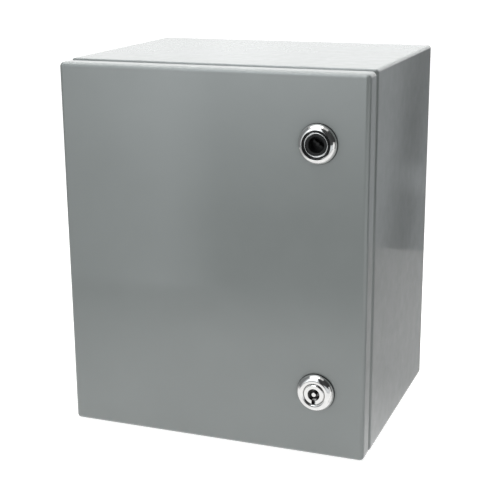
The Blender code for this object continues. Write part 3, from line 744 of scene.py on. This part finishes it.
def flanged_nut_rows(height, flange_height):
    """A hexagon nut whose lower chamfer gives way to a round flange."""
    rows = nut_rows(M6_FLATS, height - flange_height, 3.4 * MM, flange_height)
    base = flange_height * 1.001
    low_face = next(i for i, row in enumerate(rows) if row[1] <= base and not callable(row[0]))
    root = flange_height * 1.25
    above = [row for row in rows[:low_face] if row[1] > root]
    below = in_mm([(6.2, 1.2), (6.7, 0.6), (6.7, 0.15), (6.5, 0), (3.7, 0)])
    return above + [(hexagon_radius(M6_FLATS), root)] + below + rows[low_face + 2 :]


def build_plate_fixings():
    for side in BACK_CORNERS:
        node = "mounting_plate_stud_" + side
        low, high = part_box(node)
        shoulder = (6 * MM, high.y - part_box("mounting_plate")[1].y - GAP)
        start = on_axis(node, high.y)
        build_stud(node, start, FRONT, M6, high.y - low.y, shoulder, shoulder=True)
        node = "mounting_plate_nut_" + side
        low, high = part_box(node)
        place = Matrix.Translation(on_axis(node, high.y)) @ FRONT
        show_turned(node, flanged_nut_rows(high.y - low.y, 1 * MM), place, 72, ring=True)


def build_gland_screws():
    radius = M4[0]
    head = radius * PAN_HEAD
    for side in BASE_CORNERS:
        node = "gland_plate_screw_" + side
        low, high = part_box(node)
        start = Vector((middle(node).x, middle(node).y, high.z - head))
        build_pan_screw(node, start, UP, radius, high.z - head - low.z, 2.5 * MM)


def build_earth_point(body, turn):
    """A weld stud with a washer and a nut on it, which stands along the turned +Z."""
    along = (turn.to_3x3() @ Vector((0, 0, 1))).normalized()

    def foot_and_length(node):
        low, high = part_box(node)
        length = abs((high - low).dot(along))
        return middle(node) - along * length / 2, length

    stud = body + "_earth_stud"
    start, length = foot_and_length(stud)
    build_stud(stud, start, turn, M6, length, (3.6 * MM, 0.6 * MM))
    washer = body + "_earth_washer"
    start, thickness = foot_and_length(washer)
    rows = washer_rows(3.9 * MM, 6 * MM, thickness, 0, 0.25 * MM, 0.15 * MM)
    show_turned(washer, rows, Matrix.Translation(start) @ turn, 72, ring=True)
    nut = body + "_earth_nut"
    start, thickness = foot_and_length(nut)
    rows = nut_rows(M6_FLATS, thickness, 3.35 * MM)
    show_turned(nut, rows, Matrix.Translation(start) @ turn, 72, ring=True)


def build_wall_plugs():
    """Push-in plugs: a low dome inside, and a stem with a moulded dimple that shows from behind."""
    stem = 1.2 * MM
    dome = in_mm([(0, 3), (4.2, 2.9, 1.5), (6.5, 1.1, 0.8), (6.5, 0, 0.3), (3.95, 0)])
    dimple = in_mm([(3.95, -1.2, 0.25), (1.6, -1.2, 0.2), (1.2, -0.7, 0.2), (0, -0.7)])
    rows = fillet(dome + dimple)
    for side in BACK_CORNERS:
        node = "wall_hole_plug_" + side
        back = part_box(node)[1].y
        show_turned(node, rows, Matrix.Translation(on_axis(node, back - stem)) @ FRONT, 64)


# ---- hinges


def hinge_axis():
    joint = next(joint for joint in frame["joints"] if joint["name"] == "door_hinge")
    return Vector(joint["pos_m"])


KNUCKLE = 4 * MM
PIN_BORE = 2.6 * MM
LEAF_PLATE = 2 * MM


def build_bracket(place, axis):
    """The body's bracket: knuckle, arm and foot in one strip."""
    node = place + "_hinge_bracket"
    low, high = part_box(node)
    arm = 2 * MM
    foot_back = high.y - axis.y
    foot_front = foot_back - arm
    foot_end = high.x - axis.x
    outline = [(0, foot_back)]
    outline += arc((0, 0), KNUCKLE, pi / 2, 2 * pi + acos(0.5), 36)
    outline += fillet(
        [
            (arm, 3.5 * MM), (arm, foot_front, 1.5 * MM), (foot_end, foot_front, 0.3 * MM),
            (foot_end, foot_back, 0.3 * MM), (0, foot_back),
        ]
    )[1:-1]
    spot = Matrix.Translation((axis.x, axis.y, low.z))
    bore = circle(PIN_BORE, 40)
    bracket = add(node + "_shown", slab(node, [outline, bore], high.z - low.z, spot))
    soften(bracket, 0.3 * MM)
    show(bracket, node)


def build_leaf(place, axis):
    """The door's leaf: a plate with a knuckle above and below the bracket's."""
    node = place + "_hinge_leaf"
    low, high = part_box(node)
    gap_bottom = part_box(place + "_hinge_bracket")[0].z - GAP
    gap_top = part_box(place + "_hinge_bracket")[1].z + GAP
    plate_back = low.y + LEAF_PLATE
    leaf = add(node + "_shown", block(node, low, Vector((high.x, plate_back, high.z))))
    root = plate_back - axis.y - 0.5 * MM
    saddle = [(-KNUCKLE, root), (KNUCKLE, root)] + arc((0, 0), KNUCKLE, 0, pi, 24)
    knuckle_height = 8 * MM
    joined = []
    for bottom in (gap_top, gap_bottom - knuckle_height):
        spot = Matrix.Translation((axis.x, axis.y, bottom))
        joined.append(tool("knuckle", slab("knuckle", [saddle], knuckle_height, spot)))
    cut(leaf, joined, "UNION")
    gap_low = Vector((axis.x - 10 * MM, low.y - 2 * MM, gap_bottom))
    gap_high = Vector((axis.x + 4.8 * MM, low.y + 8 * MM, gap_top))
    cutters = [
        tool("gap", block("gap", gap_low, gap_high)),
        hole(Vector((axis.x, axis.y, low.z - THROUGH)), PIN_BORE, 70 * MM, UP, 40),
    ]
    for end in ("top", "bottom"):
        start = on_axis(f"{place}_hinge_stud_{end}", low.y - THROUGH)
        cutters.append(hole(start, 2.9 * MM, 4 * THROUGH, sides=40))
    cut(leaf, cutters)
    smooth(leaf.data)
    soften(leaf, 0.25 * MM)
    show(leaf, node)


def build_hinge_pin(place, axis):
    """A plain pin with a domed head."""
    node = place + "_hinge_pin"
    low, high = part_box(node)
    head = 1.5 * MM
    head_radius = (high.x - low.x) / 2
    radius = 2.3 * MM
    length = high.z - low.z - head
    rows = fillet(
        [
            (0, head), (head_radius, head, 0.8 * MM), (head_radius, 0, 0.1 * MM), (radius, 0),
            (radius, -length, 0.6 * MM), (0, -length),
        ]
    )
    show_turned(node, rows, Matrix.Translation((axis.x, axis.y, high.z - head)), 48)


def build_hinge(place):
    axis = hinge_axis()
    build_bracket(place, axis)
    build_leaf(place, axis)
    build_hinge_pin(place, axis)
    for end in ("top", "bottom"):
        node = f"{place}_hinge_stud_{end}"
        low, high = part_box(node)
        build_stud(node, on_axis(node, low.y), BACK, M4, high.y - low.y, (2.6 * MM, 0.6 * MM))
        node = f"{place}_hinge_nut_{end}"
        low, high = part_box(node)
        spot = Matrix.Translation(on_axis(node, low.y)) @ BACK
        show_turned(node, nut_rows(7 * MM, high.y - low.y, 2.35 * MM), spot, 72, ring=True)


# ---- seal


def build_door_gasket():
    """A foamed bead round the door, with a slight waver and a furrow for the body's lip."""
    node = "door_gasket"
    low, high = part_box(node)
    width = 9 * MM
    height = high.y - low.y
    corner = 5 * MM
    half_x = (high.x - low.x) / 2 - width / 2
    half_z = (high.z - low.z) / 2 - width / 2
    centre = middle(node)

    path = []
    for turn, (side, end) in enumerate(((1, 1), (-1, 1), (-1, -1), (1, -1))):
        turning_point = Vector((side * (half_x - corner), end * (half_z - corner)))
        for step in range(9):
            angle = turn * pi / 2 + step / 8 * pi / 2
            outward = Vector((cos(angle), sin(angle)))
            path.append((turning_point + outward * corner, outward))
    dense = []
    for (start, out_start), (end, out_end) in zip(path, path[1:] + path[:1]):
        parts = max(1, int((end - start).length / (2 * MM)))
        for i in range(parts):
            t = i / parts
            dense.append((start.lerp(end, t), out_start.lerp(out_end, t).normalized()))

    # across the bead from -1 to 1, and the share of its full height there
    profile = []
    steps = 18
    for i in range(steps + 1):
        across = -1 + 2 * i / steps
        dome = (1 - abs(across) ** 3.2) ** 0.45 if abs(across) < 1 else 0
        furrow = 0.055 * max(0, 1 - (across / 0.3) ** 2)
        profile.append((across, dome - furrow))

    bm = bmesh.new()
    loops = []
    for spot, outward in dense:
        waver = 0.12 * MM * noise.noise(Vector((spot.x, spot.y, 0)) * 90)
        swell = 1 - 0.02 * abs(noise.noise(Vector((spot.x, spot.y, 3)) * 160))
        loop = []
        for across, rise in profile:
            flat = spot + outward * (across * (width / 2 - 0.15 * MM) + waver)
            depth = low.y + height * rise * swell
            loop.append(bm.verts.new((centre.x + flat.x, depth, centre.z + flat.y)))
        loops.append(loop)
    for first, second in zip(loops, loops[1:] + loops[:1]):
        for i in range(len(first)):
            j = (i + 1) % len(first)
            bm.faces.new((first[i], second[i], second[j], first[j]))
    gasket = add(node + "_shown", finish_mesh(node, bm))
    smooth(gasket.data, 60)
    show(gasket, node)


# ---- locks


# Heights in the locks are measured from the door's front face towards the front
PROUD = 6 * MM
CAM_HEIGHT = DOOR_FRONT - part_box("upper_lock_cam")[0].y


def lock_place(place):
    """The lock's axis where it meets the door's front face, with +Z towards the front."""
    return Matrix.Translation(on_axis(place + "_lock_housing", DOOR_FRONT)) @ FRONT


def bezel_rows(shank_end):
    """From the bezel's front lip down its rounded flank to the shank's threaded end."""
    foot = 1.1 * MM
    lip = 11.3 * MM
    rim = 15 * MM
    edge = 0.25 * MM
    shank = 10 * MM
    flank_top = PROUD - 0.06 * MM
    flank_bottom = 1.9 * MM
    straight = 0.45  # the flank is partly a cone and partly a quarter of an ellipse
    rows = [(lip - 0.2 * MM, PROUD)]
    steps = 18
    for i in range(steps + 1):
        turn = pi / 2 * i / steps
        out = straight * i / steps + (1 - straight) * sin(turn)
        drop = straight * i / steps + (1 - straight) * (1 - cos(turn))
        rows.append((lip + (rim - lip) * out, flank_top - (flank_top - flank_bottom) * drop))
    rows += [(rim, foot + edge), (rim - edge, foot), (shank, foot)]
    rows += thread(shank, 1.5 * MM, 0.6 * MM, foot - 2 * MM, shank_end + 0.6 * MM)
    rows.append((shank - 0.5 * MM, shank_end))
    return rows


def build_lock_mount(place, bore_rows):
    """The housing, the seal under its bezel and the nut behind the door."""
    spot = lock_place(place)
    node = place + "_lock_housing"
    shank_end = DOOR_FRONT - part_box(node)[1].y
    bore_radius = bore_rows[0][0]
    rows = bezel_rows(shank_end) + [(bore_radius, shank_end)] + bore_rows
    show_turned(node, rows, spot, 128, ring=True)
    node = place + "_lock_seal"
    low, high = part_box(node)
    rim = (high.x - low.x) / 2
    rows = washer_rows(SHANK_HOLE, rim, DOOR_FRONT - low.y, DOOR_FRONT - high.y, 0.2 * MM)
    show_turned(node, rows, spot, 128, ring=True)
    node = place + "_lock_nut"
    low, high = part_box(node)
    spot = Matrix.Translation(on_axis(node, low.y)) @ BACK
    show_turned(node, nut_rows(24 * MM, high.y - low.y, SHANK_HOLE), spot, 120, ring=True)


def build_lock_cam(place):
    """The cam, which hangs from the barrel's square tail, and its screw."""
    node = place + "_lock_cam"
    low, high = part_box(node)
    axis = middle(place + "_lock_housing")
    reach = axis.z - low.z
    half = (high.x - low.x) / 2
    tip = 2.5 * MM
    outline = arc((0, 0), half, 0, pi, 32)
    outline += arc((-half + tip, -reach + tip), tip, pi, 1.5 * pi, 8)
    outline += arc((half - tip, -reach + tip), tip, 1.5 * pi, 2 * pi, 8)
    side = 3.8 * MM
    square = [(side, side), (-side, side), (-side, -side), (side, -side)]
    spot = Matrix.Translation((axis.x, high.y, axis.z)) @ FRONT
    cam = add(node + "_shown", slab(node, [outline, square], high.y - low.y, spot))
    soften(cam, 0.4 * MM, 3)
    show(cam, node)
    node = place + "_lock_cam_screw"
    low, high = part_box(node)
    radius = 2.5 * MM
    head = radius * PAN_HEAD
    start = Vector((axis.x, high.y - head, axis.z))
    build_pan_screw(node, start, BACK, radius, high.y - head - low.y, 3.1 * MM)


def add_tail(barrel, place):
    """The barrel's square tail, with the cam screw's hole down its middle."""
    axis = middle(place + "_lock_housing")
    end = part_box(place + "_lock_barrel")[1].y
    half = Vector((3.5 * MM, 0, 3.5 * MM))
    low = Vector((axis.x, end - 4.3 * MM, axis.z)) - half
    high = Vector((axis.x, end, axis.z)) + half
    cut(barrel, [tool("tail", block("tail", low, high))], "UNION")
    start = Vector((axis.x, end + 1 * MM, axis.z))
    cut(barrel, [hole(start, 2.8 * MM, 11 * MM, FRONT, 48)])


def build_upper_lock():
    """Double-bit lock: a bright rim round a black drive, in a black dust ring in the bezel."""
    place = "upper"
    spot = lock_place(place)
    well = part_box("upper_lock_sleeve")
    well_radius = (well[1].x - well[0].x) / 2 + GAP
    well_floor = DOOR_FRONT - well[1].y - GAP
    bore = 8.3 * MM
    build_lock_mount(
        place,
        [
            (bore, well_floor), (well_radius, well_floor), (well_radius, PROUD - 0.35 * MM),
            (well_radius + 0.1 * MM, PROUD - 0.08 * MM),
        ],
    )

    head = 9 * MM
    foot = well_floor + GAP
    rows = fillet(
        [
            (well_radius - GAP, DOOR_FRONT - well[0].y, 0.15 * MM),
            (head + 1.0 * MM, 4.9 * MM, 0.3 * MM), (head + GAP, 4.6 * MM, 0.2 * MM),
            (head + GAP, foot), (well_radius - GAP, foot),
        ],
        closed=True,
    )
    show_turned("upper_lock_sleeve", rows, spot, 128, ring=True)

    node = "upper_lock_barrel"
    rim_height = DOOR_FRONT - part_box(node)[0].y
    rim_inner = 8.4 * MM
    rim_edge = 0.55 * MM
    step = foot + 0.9 * MM
    cup = 7.3 * MM
    cup_floor = -10 * MM
    tail = CAM_HEIGHT + GAP
    rows = fillet(
        [
            (0, cup_floor), (cup, cup_floor), (cup, step), (rim_inner, step),
            (rim_inner, rim_height, rim_edge), (head, rim_height, rim_edge), (head, foot),
            (bore - GAP, foot), (bore - GAP, tail), (0, tail),
        ]
    )
    barrel = add(node + "_shown", revolve(node, rows, spot, 128))
    add_tail(barrel, place)
    smooth(barrel.data)
    flatten(barrel)
    show(barrel, node)
    build_drive_insert(spot)
    build_lock_cam(place)


def build_drive_insert(spot):
    """The black drive: a round pocket with a double-bit bar and a pin standing at its floor."""
    node = "upper_lock_insert"
    low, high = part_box(node)
    face = DOOR_FRONT - low.y
    floor = DOOR_FRONT - high.y
    flange = (high.x - low.x) / 2
    flange_foot = 3.7 * MM
    radius = 7 * MM
    pin, pin_top = 1.5 * MM, 1.2 * MM
    pocket, pocket_floor = 6 * MM, -4 * MM
    rows = fillet(
        [
            (0, pin_top), (pin, pin_top, 0.4 * MM), (pin, pocket_floor), (pocket, pocket_floor),
            (pocket, face, 0.5 * MM), (flange, face, 0.2 * MM), (flange, flange_foot),
            (radius, flange_foot), (radius, floor), (0, floor),
        ]
    )
    insert = add(node + "_shown", revolve(node, rows, spot, 96))
    bar = block("bar", Vector((-4.2, -0.8, -4.5)) * MM, Vector((4.2, 0.8, 0.6)) * MM)
    bar_turn = radians(-38)
    bar.transform(spot @ Matrix.Rotation(bar_turn, 4, "Z"))
    cut(insert, [tool("bar", bar)], "UNION")
    smooth(insert.data)
    soften(insert, 0.2 * MM)
    show(insert, node)


def build_lower_lock():
    """Tubular-key lock: a flush chrome barrel with a round keyway, a centre post and a slot."""
    place = "lower"
    spot = lock_place(place)
    bore = 8.55 * MM
    build_lock_mount(
        place,
        [
            (bore, PROUD - 0.9 * MM), (9.0 * MM, PROUD - 0.3 * MM), (9.4 * MM, PROUD - 0.05 * MM),
        ],
    )
    node = "lower_lock_barrel"
    post, post_top = 1.75 * MM, PROUD - 0.4 * MM
    keyway, keyway_floor = 4.75 * MM, -1 * MM
    radius = bore - GAP
    tail = CAM_HEIGHT + GAP
    rows = fillet(
        [
            (0, post_top), (0.3 * MM, post_top), (post, post_top, 0.35 * MM), (post, keyway_floor),
            (keyway, keyway_floor), (keyway, PROUD, 0.25 * MM), (7.5 * MM, PROUD, 0.2 * MM),
            (radius, PROUD - 0.9 * MM, 0.2 * MM), (radius, tail), (0, tail),
        ]
    )
    barrel = add(node + "_shown", revolve(node, rows, spot, 128))
    slot = block("slot", Vector((-1.6, -7.6, 2)) * MM, Vector((1.6, -3.5, 8)) * MM)
    slot.transform(spot)
    cut(barrel, [tool("slot", slot)])
    add_tail(barrel, place)
    smooth(barrel.data)
    soften(barrel, 0.12 * MM, 2, 60)
    # the barrel's material paints shade into the keyway, darker with depth
    show(barrel, node, "keyway_chrome_painted_shade")
    build_lock_cam(place)


# ---- studio


def ramp(value, stops):
    """Runs straight between (position, level) stops, and stays level beyond them."""
    for (left, low), (right, high) in zip(stops, stops[1:]):
        if value < right:
            share = max(0, (value - left) / (right - left))
            return low + (high - low) * share
    return stops[-1][1]


def glow(name, colour):
    """A light-giving surface, as bright as its mesh's own attribute says, a little unevenly."""
    shader = Shader(name, (0.02, 0.02, 0.02), 0.9)
    shader.set("Emission Color", (*colour, 1))
    level = shader.node("ShaderNodeAttribute", {"attribute_name": "level"}).outputs["Fac"]
    uneven = shader.remap(shader.noise(100 * MM, 1), 0.94, 1)
    strength = shader.node("ShaderNodeMath", {"operation": "MULTIPLY"})
    shader.tree.links.new(level, strength.inputs[0])
    shader.tree.links.new(uneven, strength.inputs[1])
    shader.link(strength.outputs[0], "Emission Strength")
    return shader.material


def build_floor():
    """A plain pale floor, lit up to white."""
    bm = bmesh.new()
    bmesh.ops.create_grid(bm, x_segments=2, y_segments=2, size=14)
    floor = add("floor", finish_mesh("floor", bm, Matrix.Translation((0, 0, -0.2 * MM))))
    shader = Shader("floor_white", (0.5, 0.5, 0.5), 0.6, Emission_Strength=0.8)
    shader.set("Emission Color", (1, 1, 1, 1))
    shader.rough(shader.noise(400 * MM, 3), 0.55, 0.65)
    floor.data.materials.append(shader.material)


def add_card(name, corner, along, up, colour, level, shown=True, blocks=False):
    """A flat card from a corner, which only shows in reflections, or only blocks light.

    Its mesh holds a level of brightness for each point, from the level function of the place.
    """
    corner, along, up = Vector(corner), Vector(along), Vector(up)
    steps = 48
    bm = bmesh.new()
    bmesh.ops.create_grid(bm, x_segments=steps, y_segments=steps, size=0.5)
    for vert in bm.verts:
        vert.co = corner + along * (vert.co.x + 0.5) + up * (vert.co.y + 0.5)
    mesh = bpy.data.meshes.new(name)
    bm.to_mesh(mesh)
    bm.free()
    levels = mesh.attributes.new("level", "FLOAT", "POINT")
    for spot, vert in zip(levels.data, mesh.vertices):
        spot.value = level(*vert.co)
    card = add(name, mesh)
    mesh.materials.append(glow(name, colour))
    card.visible_camera = False
    card.visible_glossy = shown
    card.visible_diffuse = blocks
    card.visible_shadow = blocks


def room_in_front(x, y, z):
    """A window to the left in a dark room, a bright softbox above, and a doorway to the right."""
    window = ramp(
        x, ((-0.7, 0.3), (-0.32, 0.5), (-0.25, 0.66), (-0.2, 0.9), (-0.18, 0.9), (-0.15, 0))
    )
    window *= ramp(z, ((0.19, 1), (0.26, 0.7)))
    reach = ramp(x, ((-0.45, 0.1), (-0.3, 0.45), (-0.2, 0.78), (-0.1, 1), (0.06, 1), (0.12, 0)))
    low_sky = ((0, 0.3), (0.02, 0.04), (0.08, 0.06), (0.12, 0.28), (0.17, 0.72), (0.21, 1.25))
    high_sky = ((0.26, 1.8), (0.42, 1.8), (0.55, 3.2))
    sky = ramp(z, low_sky + high_sky)
    doorway = ramp(x, ((0.2, 0), (0.24, 0.8))) * ramp(z, ((0.17, 1), (0.2, 0.03)))
    return window + sky * reach + doorway


def room_behind(x, y, z):
    """A pale room with a dark, slightly slanted gap in it, and a dim lamp in front of the gap."""
    gap_x = 0.222
    slanted_gap_x = gap_x + (0.2 - z) * 0.09
    curtain = ramp(
        x - slanted_gap_x,
        ((-0.02, 0.28), (0, 0.04), (0.01, 0.12), (0.02, 0.24), (0.03, 0.33), (0.05, 0.4)),
    )
    lamp_z, half_wide, half_high = 0.095, 0.021, 0.022
    inside = 1 - ((x - gap_x) / half_wide) ** 2 - ((z - lamp_z) / half_high) ** 2
    return curtain + 0.15 * max(0, inside) ** 0.5


def table_in_front(x, y, z):
    """The table is brightest close to the object."""
    depth = ramp(y, ((-0.45, 0.44), (-0.38, 0.72), (-0.32, 1.03), (-0.15, 1.15)))
    return depth * ramp(x, ((-0.35, 0.4), (-0.25, 0.55), (-0.2, 0.7), (-0.1, 1)))


def table_at_right(x, y, z):
    depth = ramp(y, ((-0.1, 0.85), (0, 0.6), (0.1, 0.48), (0.5, 0.46)))
    return depth * ramp(x, ((0.125, 1), (0.2, 0.9), (0.3, 0.65)))


def even(level):
    return lambda x, y, z: level


def build_cards():
    """The studio as the glossy paint and the chrome mirror it; the light itself is elsewhere."""
    cool = (0.96, 1.0, 1.03)
    white = (1, 1, 1)
    front = -0.45
    side = 0.7
    table = 1 * MM
    cards = (
        ("front_room", (-side, front, 0), (1.5, 0, 0), (0, 0, 1.2), cool, room_in_front),
        ("back_room", (0.0, 0.5, 0), (0.6, 0, 0), (0, 0, 0.28), cool, room_behind),
        ("back_wall", (-1.2, 0.6, 0.29), (2.4, 0, 0), (0, 0, 1.2), white, even(0.96)),
        ("ceiling", (-side, front, 1.2), (0.95, 0, 0), (0, 0.8, 0), white, even(2.4)),
        ("left_wall", (-side, front, 0), (0, 1, 0), (0, 0, 1), cool, even(0.2)),
        ("right_low", (side, -0.15, 0), (0, 0.75, 0), (0, 0, 0.3), cool, even(0.05)),
        ("right_flag", (side, -0.6, 0.3), (0, 0.85, 0), (0, 0, 0.9), cool, even(0.02)),
        ("table_right", (0.126, -0.15, table), (0.55, 0, 0), (0, 0.65, 0), white, table_at_right),
        ("table_front", (-side, front, table), (1.4, 0, 0), (0, 0.35, 0), white, table_in_front),
    )
    for card in cards:
        add_card(*card)
    shade = ("right_shade", (0.45, -0.2, 0), (0, 0.9, 0), (0, 0, 0.8), white, even(0))
    add_card(*shade, shown=False, blocks=True)


def build_lights():
    """A white world, brighter to the camera than in the light it gives, and a softbox above.

    The softbox faces straight down, and shows neither itself nor its reflection.
    """
    given, seen_from_camera = 0.7, 1.1
    world = bpy.data.worlds.new("studio")
    bpy.context.scene.world = world
    world.use_nodes = True
    background = world.node_tree.nodes["Background"]
    background.inputs["Color"].default_value = (1, 1, 1, 1)
    seen = world.node_tree.nodes.new("ShaderNodeLightPath").outputs["Is Camera Ray"]
    strength = world.node_tree.nodes.new("ShaderNodeMapRange")
    strength.inputs["To Min"].default_value = given
    strength.inputs["To Max"].default_value = seen_from_camera
    world.node_tree.links.new(seen, strength.inputs["Value"])
    world.node_tree.links.new(strength.outputs[0], background.inputs["Strength"])
    data = bpy.data.lights.new("overhead", "AREA")
    data.shape = "RECTANGLE"
    data.size, data.size_y = 0.5, 0.4
    data.energy = 3.2
    data.spread = radians(120)
    lamp = add("overhead", data)
    lamp.location = (0, 0.05, 0.75)
    lamp.visible_camera = False
    lamp.visible_glossy = False


def build_camera():
    """The viewpoint: in front, to the right and a little above."""
    place = (0.33384, -0.8888, 0.40156)
    forward = Vector((-0.34172, 0.89955, -0.27209)).normalized()
    right = Vector((0.93551, 0.35322, -0.00713))
    right = (right - forward * right.dot(forward)).normalized()
    up = right.cross(forward)
    data = bpy.data.cameras.new("camera")
    data.lens = 83.2
    data.sensor_width = 36
    camera = add("camera", data)
    turn = Matrix((right, up, -forward)).transposed().to_4x4()
    camera.matrix_world = Matrix.Translation(place) @ turn
    bpy.context.scene.camera = camera


build_camera()
build_door_panel()
build_enclosure_body()
build_mounting_plate()
build_gland_plate()
build_plate_fixings()
build_gland_screws()
build_earth_point("body", RIGHT)
build_earth_point("door", BACK)
build_wall_plugs()
build_hinge("upper")
build_hinge("lower")
build_door_gasket()
build_upper_lock()
build_lower_lock()
build_floor()
build_cards()
build_lights()

bpy.context.scene.view_settings.view_transform = "Standard"
